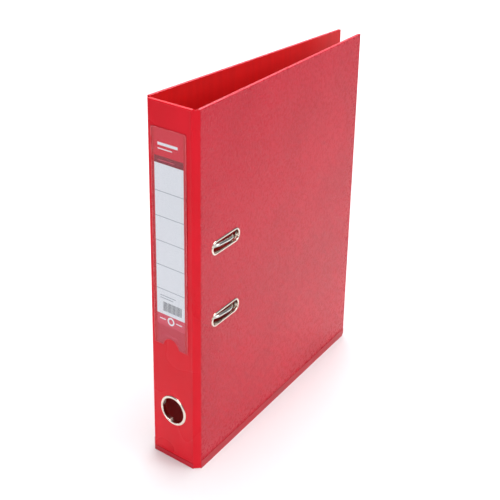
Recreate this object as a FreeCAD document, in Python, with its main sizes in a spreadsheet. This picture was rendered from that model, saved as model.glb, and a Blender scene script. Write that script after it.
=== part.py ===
# Lever arch file, folio size, 57 mm spine, standing upright and closed.
# Frame: +X from the spine to the fore edge, -Y towards the front cover, +Z up.
# The origin is at the middle of the spine's outer face, on the surface the file stands on.
import FreeCAD, Part
import os

import Sketcher

# Driving dimensions: name, value in mm (angles in degrees), what it is.
DIMENSIONS = [
    ("file_height", 345, "height of the covers"),
    ("file_depth", 285, "spine's outer face to the fore edge"),
    ("spine_width", 57, "outside width of the spine"),
    ("hinge_leg", 5, "leg of the 45 degree living hinge at each spine edge"),
    ("board_t", 2.2, "grey board"),
    ("foil_t", 0.3, "plastic foil on each face of the board"),
    ("hinge_t", 0.6, "welded foil of a living hinge"),
    ("cover_tilt", 6.1, "inward lean of the closed front cover"),
    ("rail_t", 0.4, "wall of the edge rails"),
    ("rail_height", 8, "edge rail of a cover"),
    ("spine_rail_height", 5, "edge rail of the spine"),
    ("rail_chamfer", 3, "cut-off corner of the cover rails"),
    ("ring_z", 53, "height of the finger ring's centre"),
    ("ring_bore_r", 12.4, "finger hole"),
    ("ring_flange_r", 15, "outer flange of the finger ring"),
    ("ring_flange_t", 0.8, "thickness of that flange"),
    ("ring_wall", 0.6, "tube of the finger ring"),
    ("clinch_t", 0.6, "clinched ring and slot backs inside"),
    ("slot_length", 40, "opening of a cover slot"),
    ("slot_width", 9.8, "opening of a cover slot"),
    ("slot_flange", 2, "flange of a slot eyelet"),
    ("slot_wall", 0.5, "sleeve of a slot eyelet"),
    ("slot_x", 42.8, "middle of the slots from the spine's outer face"),
    ("slot_z", 180, "middle height between the two slots"),
    ("ring_pitch", 70, "distance between the two rings"),
    ("arch_drop", 1.2, "mechanism sits this much below the slots' middle"),
    ("pocket_width", 39, "label pocket"),
    ("pocket_shift", 1, "label pocket, off the middle of the spine"),
    ("pocket_bottom", 119, "lower edge of the label pocket"),
    ("pocket_height", 204, "label pocket"),
    ("pocket_weld", 1.2, "welded border of the pocket"),
    ("pocket_film_t", 0.2, "clear film"),
    ("pocket_room", 0.5, "gap between film and spine"),
    ("card_t", 0.3, "label card"),
    ("card_gap", 0.3, "side clearance of the card in its pocket"),
    ("notch_r", 9, "thumb notch"),
    ("plate_t", 1, "base plate sheet"),
    ("plate_x", 18, "near edge of the base plate"),
    ("plate_width", 52, "base plate along X"),
    ("plate_length", 116, "base plate along Z"),
    ("plate_lip", 2.4, "turned-up long edges of the base plate"),
    ("rivet_r", 2, "rivet shank"),
    ("rivet_head_r", 3.8, "rivet head on the base plate"),
    ("rivet_cap_r", 4.6, "rivet cap outside the back cover"),
    ("rivet_inset", 5, "rivets from the base plate's long edges"),
    ("rivet_pitch", 102, "rivets along Z"),
    ("post_r", 2.5, "fixed post"),
    ("post_x", 61, "fixed posts from the spine's outer face"),
    ("post_height", 31, "fixed posts above the base plate"),
    ("post_cup", 2.1, "depth of the cup in a post's end"),
    ("arch_r", 2, "arch wire"),
    ("arch_x", 25, "arch shaft and arch legs"),
    ("arch_bend", 12, "bend of the arch wire, centre line"),
    ("arch_proud", -0.3, "arch above the outside of the front cover"),
    ("shaft_r", 2.5, "arch shaft"),
    ("shaft_h", 4, "arch shaft above the base plate"),
    ("fit", 0.1, "running clearance"),
    ("pivot_x", 34, "lever pivot"),
    ("pivot_h", 11, "lever pivot above the base plate"),
    ("pin_r", 1.5, "lever pin"),
    ("lever_angle", 48, "closed lever above the base plate"),
    ("lever_reach", 34, "lever tip from its pivot"),
    ("lever_t", 1.4, "lever sheet"),
    ("lever_width", 18, "lever"),
    ("grip_width", 22, "plastic grip of the lever"),
    ("grip_t", 6, "plastic grip of the lever"),
    ("roller_r", 3, "pressure roller"),
    ("roller_length", 8, "pressure roller"),
    ("clamp_width", 13, "paper clamp bar along X"),
    ("clamp_length", 88, "paper clamp bar along Z"),
    ("clamp_h", 1.6, "paper clamp bar above the base plate"),
    ("clamp_t", 1, "sheet of the paper clamp"),
]

doc = FreeCAD.newDocument("LeverArchFile")
sheet = doc.addObject("Spreadsheet::Sheet", "dims")
size = {}
for row, (alias, value, note) in enumerate(DIMENSIONS, start=1):
    sheet.set("A%d" % row, alias)
    sheet.set("B%d" % row, str(value))
    sheet.set("C%d" % row, note)
    sheet.setAlias("B%d" % row, alias)
    size[alias] = value
doc.recompute()

# Derived places, as expressions on the sheet's cells.
PANEL_T = "(dims.board_t + 2 * dims.foil_t)"
HALF = "(dims.spine_width / 2)"
FLAT = "(dims.spine_width / 2 - dims.hinge_leg)"
BACK_IN = "(%s - %s)" % (HALF, PANEL_T)
PLATE_Y = "(%s - dims.plate_t)" % BACK_IN
MECH_Z = "(dims.slot_z - dims.arch_drop)"
TILT = "(dims.cover_tilt * 1 deg)"
COVER_LENGTH = "(dims.file_depth - dims.hinge_leg)"
SLOT_U = "((dims.slot_x - dims.hinge_leg) / cos(%s))" % TILT
ARCH_TOP = "(%s + %s - (dims.slot_x - dims.hinge_leg) * tan(%s) + dims.arch_proud - dims.arch_r)" % (
    PLATE_Y, HALF, TILT)
BEND_H = "(%s - dims.arch_bend)" % ARCH_TOP
NEAR_RIVET_X = "(dims.plate_x + dims.rivet_inset)"
FAR_RIVET_X = "(dims.plate_x + dims.plate_width - dims.rivet_inset)"
RING_ENDS = {"upper": "(%s + dims.ring_pitch / 2)" % MECH_Z,
             "lower": "(%s - dims.ring_pitch / 2)" % MECH_Z}
SLOT_ENDS = {"upper": "(dims.slot_z + dims.ring_pitch / 2)",
             "lower": "(dims.slot_z - dims.ring_pitch / 2)"}
CLEAR = 2  # how far a cutting solid runs past the face it cuts

finished = []


def lift(height):
    """Y of a point this far above the base plate."""
    return "(%s - (%s))" % (PLATE_Y, height)


def minus(low, high):
    return "(%s) - (%s)" % (high, low)


def box(name, x, y, z):
    """A block between two expressions on each axis."""
    block = doc.addObject("Part::Box", name)
    for side, axis, (low, high) in zip(("Length", "Width", "Height"), "xyz", (x, y, z)):
        block.setExpression(side, minus(low, high))
        block.setExpression("Placement.Base.%s" % axis, "%s" % low)
    return block


TURNS = {
    "x": FreeCAD.Rotation(FreeCAD.Vector(0, 1, 0), 90),
    "y": FreeCAD.Rotation(FreeCAD.Vector(1, 0, 0), -90),
    "z": FreeCAD.Rotation(),
}


def rod(name, axis, radius, x, y, z):
    """A cylinder along one axis; that axis gets a pair of expressions, the others one each."""
    cylinder = doc.addObject("Part::Cylinder", name)
    cylinder.Placement = FreeCAD.Placement(FreeCAD.Vector(), TURNS[axis])
    cylinder.setExpression("Radius", radius)
    for letter, place in zip("xyz", (x, y, z)):
        if letter == axis:
            cylinder.setExpression("Height", minus(*place))
            place = place[0]
        cylinder.setExpression("Placement.Base.%s" % letter, "%s" % place)
    return cylinder


def cut(name, body, *tools):
    for number, tool in enumerate(tools):
        trimmed = doc.addObject("Part::Cut", "%s_cut%d" % (name, number))
        trimmed.Base = body
        trimmed.Tool = tool
        body = trimmed
    return body


def fuse(name, *solids):
    joined = doc.addObject("Part::MultiFuse", name)
    joined.Shapes = list(solids)
    return joined


def group(name, *solids):
    together = doc.addObject("Part::Compound", name)
    together.Links = list(solids)
    return together


def stadium(name, length, width, u, v, z):
    """A slot-shaped prism: centre u, thickness v, centre z."""
    end = "((%s) / 2 - (%s) / 2)" % (length, width)
    half = "((%s) / 2)" % width
    low, high = "(%s - %s)" % (u, end), "(%s + %s)" % (u, end)
    return fuse(
        name,
        box(name + "_middle", (low, high), v, ("(%s - %s)" % (z, half), "(%s + %s)" % (z, half))),
        rod(name + "_near", "y", half, low, v, z),
        rod(name + "_far", "y", half, high, v, z),
    )


def turned(piece, x, y, z, angle):
    """Turns a finished solid about Z and sets it at x, y, z."""
    piece.setExpression("Placement", (
        "create(<<placement>>; create(<<vector>>; %s; %s; %s); "
        "create(<<rotation>>; create(<<vector>>; 0; 0; 1); %s))") % (x, y, z, angle))
    return piece


def finish(label, piece):
    piece.Label = label
    finished.append(piece)
    return piece


def near_edge(box_object, direction, *coordinates):
    """Numbers of the box's edges along a direction that pass nearest the given place."""
    doc.recompute()
    edges = []
    for number, edge in enumerate(box_object.Shape.Edges, start=1):
        middle = edge.CenterOfMass
        along = (edge.Vertexes[1].Point - edge.Vertexes[0].Point).normalize()
        if abs(along.dot(direction)) > 0.99:
            gap = sum(abs(getattr(middle, axis) - value) for axis, value in coordinates)
            edges.append((gap, number))
    return [number for gap, number in sorted(edges)]


def chamfered(name, block, edge_numbers, amount):
    trimmed = doc.addObject("Part::Chamfer", name)
    trimmed.Base = block
    trimmed.Edges = [(number, amount, amount) for number in edge_numbers]
    return trimmed


def rounded(name, block, edge_numbers, amount):
    trimmed = doc.addObject("Part::Fillet", name)
    trimmed.Base = block
    trimmed.Edges = [(number, amount, amount) for number in edge_numbers]
    return trimmed


# ---------------------------------------------------------------- panels
def cover(prefix, faces, drills):
    """One cover of the case: foil wrapped round a board, a liner inside, and an edge rail.

    faces gives the outside and inside of the panel across its thickness; drills cut all layers."""
    outside, inside = faces
    inward = "1" if prefix == "front" else "-1"
    near, far = ("0", COVER_LENGTH) if prefix == "front" else ("dims.hinge_leg", "dims.file_depth")

    def depth(amount):
        return "(%s + %s * (%s))" % (outside, inward, amount)

    def across(first, second):
        return (first, second) if prefix == "front" else (second, first)

    inset_x = ("(%s + dims.foil_t)" % near, "(%s - dims.foil_t)" % far)
    inset_z = ("(dims.rail_t + dims.foil_t)", "(dims.file_height - dims.foil_t)")
    corner = ("x", size["file_depth"] - (size["hinge_leg"] if prefix == "front" else 0))
    down = FreeCAD.Vector(0, 1, 0)

    def blank(name, x, y, z):
        solid = box(name, x, y, z)
        edge = near_edge(solid, down, corner, ("z", 0))[:1]
        return chamfered(name + "_corner", solid, edge, size["rail_chamfer"])

    foil = cut(
        prefix + "_wrap",
        blank(prefix + "_wrap", (near, far), across(outside, inside), ("dims.rail_t", "dims.file_height")),
        blank(prefix + "_hollow", inset_x, across(depth("dims.foil_t"), depth(PANEL_T + " + 1")), inset_z),
        *drills)
    board = cut(
        prefix + "_core",
        blank(prefix + "_core", inset_x,
              across(depth("dims.foil_t"), depth("dims.foil_t + dims.board_t")), inset_z),
        *drills)
    liner = cut(
        prefix + "_lining",
        blank(prefix + "_lining", inset_x,
              across(depth("dims.foil_t + dims.board_t"), depth(PANEL_T)), inset_z),
        *drills)
    rail = cut(
        prefix + "_edging",
        blank(prefix + "_edging", (near, far),
              across(depth("-dims.rail_t"), depth(PANEL_T + " + dims.rail_t")), ("0", "dims.rail_height")),
        blank(prefix + "_groove", (near, far), across(outside, inside),
              ("dims.rail_t", "(dims.rail_height + %d)" % CLEAR)))
    return [finish(prefix + "_cover_foil", foil), finish(prefix + "_cover_board", board),
            finish(prefix + "_cover_liner", liner), finish(prefix + "_cover_rail", rail)]


rivet_places = [(x, "(%s %s dims.rivet_pitch / 2)" % (MECH_Z, sign))
                for x in (NEAR_RIVET_X, FAR_RIVET_X) for sign in "+-"]
rivet_drill = fuse("rivet_drill", *[
    rod("rivet_drill_%d" % number, "y", "(dims.rivet_r + dims.fit / 2)", x,
        ("(%s - %d)" % (BACK_IN, CLEAR), "(%s + %d)" % (HALF, CLEAR)), z)
    for number, (x, z) in enumerate(rivet_places)])
cover("back", (HALF, BACK_IN), [rivet_drill])

slot_drills = [
    stadium("%s_slot_drill" % end,
            "(dims.slot_length + 2 * (dims.slot_wall + dims.fit / 2))",
            "(dims.slot_width + 2 * (dims.slot_wall + dims.fit / 2))",
            SLOT_U, ("-%d" % CLEAR, "(%s + %d)" % (PANEL_T, CLEAR)), SLOT_ENDS[end])
    for end in ("upper", "lower")]
front_pieces = cover("front", ("0", PANEL_T), slot_drills)


# ---------------------------------------------------------------- slot eyelets of the front cover
def slot_eyelet(end):
    z = SLOT_ENDS[end]
    name = end + "_slot"
    through = ("(-dims.ring_flange_t - 1)", "(%s + dims.clinch_t + 1)" % PANEL_T)
    flange = stadium(name + "_flange", "(dims.slot_length + 2 * dims.slot_flange)",
                     "(dims.slot_width + 2 * dims.slot_flange)", SLOT_U, ("-dims.ring_flange_t", "0"), z)
    sleeve = stadium(name + "_sleeve", "(dims.slot_length + 2 * dims.slot_wall)",
                     "(dims.slot_width + 2 * dims.slot_wall)", SLOT_U,
                     ("-dims.ring_flange_t", "(%s + dims.clinch_t)" % PANEL_T), z)
    opening = stadium(name + "_opening", "dims.slot_length", "dims.slot_width", SLOT_U, through, z)
    eyelet = cut(name + "_eyelet", fuse(name + "_blank", flange, sleeve), opening)
    washer = cut(
        name + "_back",
        stadium(name + "_back_plate", "(dims.slot_length + 2 * dims.slot_flange - 1)",
                "(dims.slot_width + 2 * dims.slot_flange - 1)", SLOT_U,
                (PANEL_T, "(%s + dims.clinch_t)" % PANEL_T), z),
        stadium(name + "_back_hole", "(dims.slot_length + 2 * (dims.slot_wall + dims.fit / 2))",
                "(dims.slot_width + 2 * (dims.slot_wall + dims.fit / 2))", SLOT_U, through, z))
    return [finish(name + "_eyelet", eyelet), finish(name + "_clinch_plate", washer)]


for end in ("upper", "lower"):
    front_pieces += slot_eyelet(end)
for piece in front_pieces:
    turned(piece, "dims.hinge_leg", "-%s" % HALF, "0", "dims.cover_tilt")

# ---------------------------------------------------------------- spine
ring_hole = rod("ring_hole", "x", "(dims.ring_bore_r + dims.ring_wall + dims.fit / 2)",
                ("-%d" % CLEAR, "(%s + %d)" % (PANEL_T, CLEAR)), "0", "dims.ring_z")
SPINE_Y = ("-%s" % FLAT, FLAT)
SPINE_IN_Y = ("(dims.foil_t - %s)" % FLAT, "(%s - dims.foil_t)" % FLAT)
SPINE_IN_Z = ("(dims.rail_t + dims.foil_t)", "(dims.file_height - dims.foil_t)")
BOARD_IN = "(dims.foil_t + dims.board_t)"
finish("spine_foil", cut(
    "spine_wrap",
    box("spine_wrap", ("0", PANEL_T), SPINE_Y, ("dims.rail_t", "dims.file_height")),
    box("spine_hollow", ("dims.foil_t", "(%s + %d)" % (PANEL_T, CLEAR)), SPINE_IN_Y, SPINE_IN_Z),
    ring_hole))
finish("spine_board", cut(
    "spine_core", box("spine_core", ("dims.foil_t", BOARD_IN), SPINE_IN_Y, SPINE_IN_Z), ring_hole))
finish("spine_liner", cut(
    "spine_lining", box("spine_lining", (BOARD_IN, PANEL_T), SPINE_IN_Y, SPINE_IN_Z), ring_hole))
finish("spine_rail", cut(
    "spine_edging",
    box("spine_edging", ("-dims.rail_t", "(%s + dims.rail_t)" % PANEL_T), SPINE_Y,
        ("0", "dims.spine_rail_height")),
    box("spine_groove", ("0", PANEL_T), ("(-%s - %d)" % (FLAT, CLEAR), "(%s + %d)" % (FLAT, CLEAR)),
        ("dims.rail_t", "(dims.spine_rail_height + %d)" % CLEAR))))

# The living hinges: strips of welded foil set at 45 degrees between the panels.
HINGE_END = "(dims.hinge_leg * sqrt(2) - dims.hinge_t * 1.5)"
for prefix, x, y, angle in (("front", "0", "-%s" % FLAT, "-45"), ("back", "dims.hinge_leg", HALF, "-135")):
    strip = box(prefix + "_strip", ("dims.hinge_t", HINGE_END), ("0", "dims.hinge_t"),
                ("dims.rail_t", "dims.file_height"))
    bead = box(prefix + "_strip_bead", ("(dims.hinge_t * 2)", "(%s - dims.hinge_t)" % HINGE_END),
               ("dims.hinge_t", "(dims.hinge_t * 1.5)"),
               ("dims.rail_height", "(dims.file_height - dims.rail_height)"))
    finish(prefix + "_hinge_strip", turned(fuse(prefix + "_strip_set", strip, bead), x, y, "0", angle))

# ---------------------------------------------------------------- finger ring
CLINCH_X = "(%s + dims.clinch_t)" % PANEL_T
finish("finger_ring", cut(
    "ring",
    fuse("ring_blank",
         rod("ring_flange", "x", "dims.ring_flange_r", ("-dims.ring_flange_t", "0"), "0", "dims.ring_z"),
         rod("ring_tube", "x", "(dims.ring_bore_r + dims.ring_wall)",
             ("-dims.ring_flange_t", CLINCH_X), "0", "dims.ring_z")),
    rod("ring_bore", "x", "dims.ring_bore_r", ("-%d" % CLEAR, "(%s + %d)" % (CLINCH_X, CLEAR)),
        "0", "dims.ring_z")))
finish("finger_ring_clinch_plate", cut(
    "ring_back",
    rod("ring_back_plate", "x", "(dims.ring_flange_r - 0.4)", (PANEL_T, CLINCH_X), "0", "dims.ring_z"),
    ring_hole))

# ---------------------------------------------------------------- label pocket and label card
POCKET_Y = ("(dims.pocket_shift - dims.pocket_width / 2)", "(dims.pocket_shift + dims.pocket_width / 2)")
POCKET_TOP = "(dims.pocket_bottom + dims.pocket_height)"
ROOM_Y = ("(%s + dims.pocket_weld)" % POCKET_Y[0], "(%s - dims.pocket_weld)" % POCKET_Y[1])
FILM_X = "(dims.pocket_room + dims.pocket_film_t)"
notch = rod("thumb_notch", "x", "dims.notch_r", ("-%d" % CLEAR, "0"), "dims.pocket_shift",
            "(dims.pocket_bottom - 1)")
finish("label_pocket", cut(
    "pocket",
    box("pocket_sheet", ("-%s" % FILM_X, "0"), POCKET_Y, ("dims.pocket_bottom", POCKET_TOP)),
    box("pocket_room", ("-dims.pocket_room", "1"), ROOM_Y,
        ("(dims.pocket_bottom - 1)", "(%s - dims.pocket_weld)" % POCKET_TOP)),
    notch))
CARD_X = "((dims.pocket_room - dims.card_t) / 2)"
finish("label_card", cut(
    "card",
    box("card_sheet", ("(-%s - dims.card_t)" % CARD_X, "-%s" % CARD_X),
        ("(%s + dims.card_gap)" % ROOM_Y[0], "(%s - dims.card_gap)" % ROOM_Y[1]),
        ("(dims.pocket_bottom + dims.card_gap)", "(%s - dims.pocket_weld - dims.card_gap)" % POCKET_TOP)),
    notch))


# ---------------------------------------------------------------- base plate of the mechanism
def base_plate():
    """A PartDesign body: a sketched sheet with rounded corners, holes, lips, ears and shaft keepers."""
    body = doc.addObject("PartDesign::Body", "base_plate_body")
    top_plane = [f for f in body.Origin.OriginFeatures if f.Role == "XZ_Plane"][0]

    def sketch(name):
        drawn = body.newObject("Sketcher::SketchObject", name)
        drawn.AttachmentSupport = [(top_plane, "")]
        drawn.MapMode = "FlatFace"
        return drawn

    def rectangle(drawn, tag, x, z, wide, tall, guess):
        """Four lines held by their lower left corner and two lengths."""
        gx, gz, gw, gt = guess
        corners = [(gx, gz), (gx + gw, gz), (gx + gw, gz + gt), (gx, gz + gt)]
        points = [FreeCAD.Vector(a, b, 0) for a, b in corners]
        first = drawn.GeometryCount
        for start in range(4):
            drawn.addGeometry(Part.LineSegment(points[start], points[(start + 1) % 4]), False)
        for start in range(4):
            drawn.addConstraint(Sketcher.Constraint(
                "Coincident", first + start, 2, first + (start + 1) % 4, 1))
        for line in (0, 2):
            drawn.addConstraint(Sketcher.Constraint("Horizontal", first + line))
            drawn.addConstraint(Sketcher.Constraint("Vertical", first + line + 1))
        for kind, ends, text in (("DistanceX", (-1, 1, first, 1), x), ("DistanceY", (-1, 1, first, 1), z),
                                 ("DistanceX", (first, 1, first, 2), wide),
                                 ("DistanceY", (first + 1, 1, first + 1, 2), tall)):
            value = {x: gx, z: gz, wide: gw, tall: gt}[text]
            number = drawn.addConstraint(Sketcher.Constraint(kind, *ends, value))
            drawn.setExpression("Constraints[%d]" % number, text)

    def circle(drawn, x, z, radius, guess):
        gx, gz, gr = guess
        first = drawn.addGeometry(Part.Circle(FreeCAD.Vector(gx, gz, 0), FreeCAD.Vector(0, 0, 1), gr), False)
        for constraint, text in ((("DistanceX", -1, 1, first, 3, gx), x),
                                 (("DistanceY", -1, 1, first, 3, gz), z),
                                 (("Radius", first, gr), radius)):
            number = drawn.addConstraint(Sketcher.Constraint(*constraint))
            drawn.setExpression("Constraints[%d]" % number, text)

    def pad(drawn, length, reverse):
        feature = body.newObject("PartDesign::Pad", drawn.Name + "_pad")
        feature.Profile = drawn
        feature.Reversed = reverse
        feature.setExpression("Length", length)
        drawn.Visibility = False
        doc.recompute()
        return feature

    mech_z = size["slot_z"] - size["arch_drop"]
    blank = sketch("plate_outline")
    rectangle(blank, "plate", "dims.plate_x", "(%s - dims.plate_length / 2)" % MECH_Z,
              "dims.plate_width", "dims.plate_length",
              (size["plate_x"], mech_z - size["plate_length"] / 2, size["plate_width"], size["plate_length"]))
    plate = pad(blank, "dims.plate_t", True)
    corners = body.newObject("PartDesign::Fillet", "plate_corners")
    upright = ["Edge%d" % n for n, e in enumerate(plate.Shape.Edges, start=1)
               if abs((e.Vertexes[1].Point - e.Vertexes[0].Point).normalize().y) > 0.99]
    corners.Base = (plate, upright)
    corners.Radius = 6
    doc.recompute()

    lips = sketch("lip_outline")
    lip_length = "(dims.plate_length - 24)"
    lip_z = "(%s - dims.plate_length / 2 + 12)" % MECH_Z
    guess_z = mech_z - size["plate_length"] / 2 + 12
    for x, gx in (("dims.plate_x", size["plate_x"]),
                  ("(dims.plate_x + dims.plate_width - dims.plate_t)",
                   size["plate_x"] + size["plate_width"] - size["plate_t"])):
        rectangle(lips, "lip", x, lip_z, "dims.plate_t", lip_length,
                  (gx, guess_z, size["plate_t"], size["plate_length"] - 24))
    pad(lips, "dims.plate_lip", False)

    holes = sketch("hole_outline")
    for x, gx in ((NEAR_RIVET_X, size["plate_x"] + size["rivet_inset"]),
                  (FAR_RIVET_X, size["plate_x"] + size["plate_width"] - size["rivet_inset"])):
        for sign, way in (("+", 1), ("-", -1)):
            circle(holes, x, "(%s %s dims.rivet_pitch / 2)" % (MECH_Z, sign),
                   "(dims.rivet_r + dims.fit / 2)",
                   (gx, mech_z + way * size["rivet_pitch"] / 2, size["rivet_r"] + size["fit"] / 2))
    for end, way in (("upper", 1), ("lower", -1)):
        circle(holes, "dims.post_x", RING_ENDS[end], "(dims.post_r - 1)",
               (size["post_x"], mech_z + way * size["ring_pitch"] / 2, size["post_r"] - 1))
    drill = body.newObject("PartDesign::Pocket", "plate_holes")
    drill.Profile = holes
    drill.Type = 1  # through all
    drill.Midplane = True
    doc.recompute()
    body.setExpression("Placement.Base.y", PLATE_Y)
    doc.recompute()
    return body


EAR_Z = "(dims.roller_length / 2 + 2.2)"   # inner face of an ear from the mechanism's middle
EAR_T = "1.2"
KEEPER_Z = "22"
KEEPER_LENGTH = "5"
KEEPER_R = "(dims.shaft_r + 1.4)"


def both(name, maker):
    """The same solid on each side of the mechanism's middle, fused."""
    return fuse(name, *[maker("%s_%s" % (name, side), way) for side, way in (("up", 1), ("down", -1))])


def band(way, start, length):
    """A stretch of Z between start and start + length on one side of the mechanism's middle."""
    near = "(%s + %d * (%s))" % (MECH_Z, way, start)
    far = "(%s + %d * (%s + %s))" % (MECH_Z, way, start, length)
    return (near, far) if way > 0 else (far, near)


def ear(name, way):
    z = band(way, EAR_Z, EAR_T)
    head = rod(name + "_head", "z", "4", "dims.pivot_x", lift("dims.pivot_h"), z)
    web = box(name + "_web", ("(dims.pivot_x - 4)", "(dims.pivot_x + 4)"), (lift("dims.pivot_h"), PLATE_Y), z)
    foot = box(name + "_foot", ("(dims.pivot_x - 6)", "(dims.pivot_x + 6)"), (lift("2"), PLATE_Y), z)
    return fuse(name + "_ear", head, web, foot)


def keeper(name, way):
    z = band(way, KEEPER_Z, KEEPER_LENGTH)
    loop = rod(name + "_loop", "z", KEEPER_R, "dims.arch_x", lift("dims.shaft_h"), z)
    sole = box(name + "_sole", ("(dims.arch_x - %s)" % KEEPER_R, "(dims.arch_x + %s)" % KEEPER_R),
               (lift("dims.shaft_h / 2"), PLATE_Y), z)
    return fuse(name + "_strap", loop, sole)


def full_height(reach):
    return ("(%s - %s)" % (MECH_Z, reach), "(%s + %s)" % (MECH_Z, reach))


pin_bore = rod("pin_bore", "z", "(dims.pin_r + dims.fit / 2)", "dims.pivot_x", lift("dims.pivot_h"),
               full_height("20"))
shaft_bore = rod("shaft_bore", "z", "(dims.shaft_r + dims.fit)", "dims.arch_x", lift("dims.shaft_h"),
                 full_height("60"))
finish("base_plate", cut(
    "base_plate_drilled",
    fuse("base_plate_set", base_plate(), both("ears", ear), both("keepers", keeper)),
    pin_bore, shaft_bore))

# ---------------------------------------------------------------- fixed posts
for end in ("upper", "lower"):
    z = RING_ENDS[end]
    name = end + "_post"
    cup = doc.addObject("Part::Cone", name + "_cup")
    cup.Placement = FreeCAD.Placement(FreeCAD.Vector(), FreeCAD.Rotation(FreeCAD.Vector(1, 0, 0), -90))
    cup.setExpression("Radius1", "(dims.arch_r + dims.fit)")
    cup.setExpression("Radius2", "0.3")
    cup.setExpression("Height", "dims.post_cup")
    for axis, place in zip("xyz", ("dims.post_x", lift("dims.post_height"), z)):
        cup.setExpression("Placement.Base.%s" % axis, place)
    finish(name, cut(
        name,
        fuse(name + "_blank",
             rod(name + "_stem", "y", "dims.post_r", "dims.post_x", (lift("dims.post_height"), PLATE_Y), z),
             rod(name + "_collar", "y", "(dims.post_r + 1.1)", "dims.post_x",
                 (lift("dims.clamp_h - 0.4"), PLATE_Y), z),
             rod(name + "_shank", "y", "(dims.post_r - 1)", "dims.post_x", (PLATE_Y, BACK_IN), z)),
        cup))

# ---------------------------------------------------------------- rivets, lever pin, spring
HEAD_H = "1.1"
CAP_T = "0.9"
rivet_solids, cap_solids = [], []
for number, (x, z) in enumerate(rivet_places):
    name = "rivet_%d" % number
    head = doc.addObject("Part::Cone", name + "_head")
    head.Placement = FreeCAD.Placement(FreeCAD.Vector(), FreeCAD.Rotation(FreeCAD.Vector(1, 0, 0), 90))
    head.setExpression("Radius1", "dims.rivet_head_r")
    head.setExpression("Radius2", "(dims.rivet_head_r - 0.8)")
    head.setExpression("Height", HEAD_H)
    cap = doc.addObject("Part::Cone", name + "_cap")
    cap.Placement = FreeCAD.Placement(FreeCAD.Vector(), FreeCAD.Rotation(FreeCAD.Vector(1, 0, 0), -90))
    cap.setExpression("Radius1", "dims.rivet_cap_r")
    cap.setExpression("Radius2", "(dims.rivet_cap_r - 0.9)")
    cap.setExpression("Height", CAP_T)
    for solid, y in ((head, PLATE_Y), (cap, HALF)):
        for axis, place in zip("xyz", (x, y, z)):
            solid.setExpression("Placement.Base.%s" % axis, place)
    rivet_solids.append(fuse(name, head, rod(name + "_shank", "y", "dims.rivet_r", x, (PLATE_Y, HALF), z)))
    cap_solids.append(cap)
finish("base_plate_rivets", group("rivet_group", *rivet_solids))
finish("rivet_caps", group("cap_group", *cap_solids))

PIN_REACH = "(%s + %s + 1)" % (EAR_Z, EAR_T)
finish("lever_pin", fuse(
    "lever_pin_set",
    rod("lever_pin_rod", "z", "dims.pin_r", "dims.pivot_x", lift("dims.pivot_h"), full_height(PIN_REACH)),
    *[rod("lever_pin_%s" % side, "z", "(dims.pin_r + 1)", "dims.pivot_x", lift("dims.pivot_h"),
          band(way, "(%s + %s)" % (EAR_Z, EAR_T), "1")) for side, way in (("up", 1), ("down", -1))]))

SPRING_END_X = "(dims.pivot_x + 18)"
SPRING_RIVET_X = "(dims.pivot_x + 15)"
SPRING_UNDER = "0.15"
SPRING_TOP = "0.55"
finish("leaf_spring", cut(
    "spring",
    box("spring_strip", ("(dims.arch_x + 5)", SPRING_END_X), (lift(SPRING_TOP), lift(SPRING_UNDER)),
        full_height("3")),
    rod("spring_hole", "y", "(1.5 + dims.fit / 2)", SPRING_RIVET_X, (lift("3"), PLATE_Y), MECH_Z)))
finish("spring_rivet", fuse(
    "spring_rivet_set",
    rod("spring_rivet_stem", "y", "1.5", SPRING_RIVET_X, (lift("0.6"), PLATE_Y), MECH_Z),
    rod("spring_rivet_head", "y", "2.6", SPRING_RIVET_X, (lift("1.4"), lift("0.6")), MECH_Z)))

# ---------------------------------------------------------------- arches on their shaft
SHAFT_REACH = "(dims.ring_pitch / 2 + dims.arch_r + 1)"
finish("arch_shaft", rod("arch_shaft_rod", "z", "dims.shaft_r", "dims.arch_x", lift("dims.shaft_h"),
                         full_height(SHAFT_REACH)))
shaft_seat = rod("shaft_seat", "z", "dims.shaft_r", "dims.arch_x", lift("dims.shaft_h"), full_height("60"))


def arch_bend(name, x, angle, z):
    """A quarter bend of the wire, its centre bend radius in from the leg and the top."""
    bend = doc.addObject("Part::Torus", name)
    bend.Angle3 = 90
    bend.setExpression("Radius1", "dims.arch_bend")
    bend.setExpression("Radius2", "dims.arch_r")
    return turned(bend, x, lift(BEND_H), z, angle)


for end in ("upper", "lower"):
    z = RING_ENDS[end]
    name = end + "_arch"
    near_x, far_x = "(dims.arch_x + dims.arch_bend)", "(dims.post_x - dims.arch_bend)"
    tip = doc.addObject("Part::Cone", name + "_tip")
    tip.Placement = FreeCAD.Placement(FreeCAD.Vector(), FreeCAD.Rotation(FreeCAD.Vector(1, 0, 0), -90))
    tip.setExpression("Radius1", "dims.arch_r")
    tip.setExpression("Radius2", "0.3")
    tip.setExpression("Height", "(dims.post_cup - dims.fit)")
    for axis, place in zip("xyz", ("dims.post_x", lift("dims.post_height + dims.fit"), z)):
        tip.setExpression("Placement.Base.%s" % axis, place)
    finish(name, cut(
        name,
        fuse(name + "_wire",
             rod(name + "_leg", "y", "dims.arch_r", "dims.arch_x", (lift(BEND_H), lift("dims.shaft_h")), z),
             arch_bend(name + "_near_bend", near_x, "180", z),
             rod(name + "_top", "x", "dims.arch_r", (near_x, far_x), lift(ARCH_TOP), z),
             arch_bend(name + "_far_bend", far_x, "270", z),
             rod(name + "_end", "y", "dims.arch_r", "dims.post_x",
                 (lift(BEND_H), lift("dims.post_height + dims.fit")), z),
             tip),
        shaft_seat))

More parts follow.
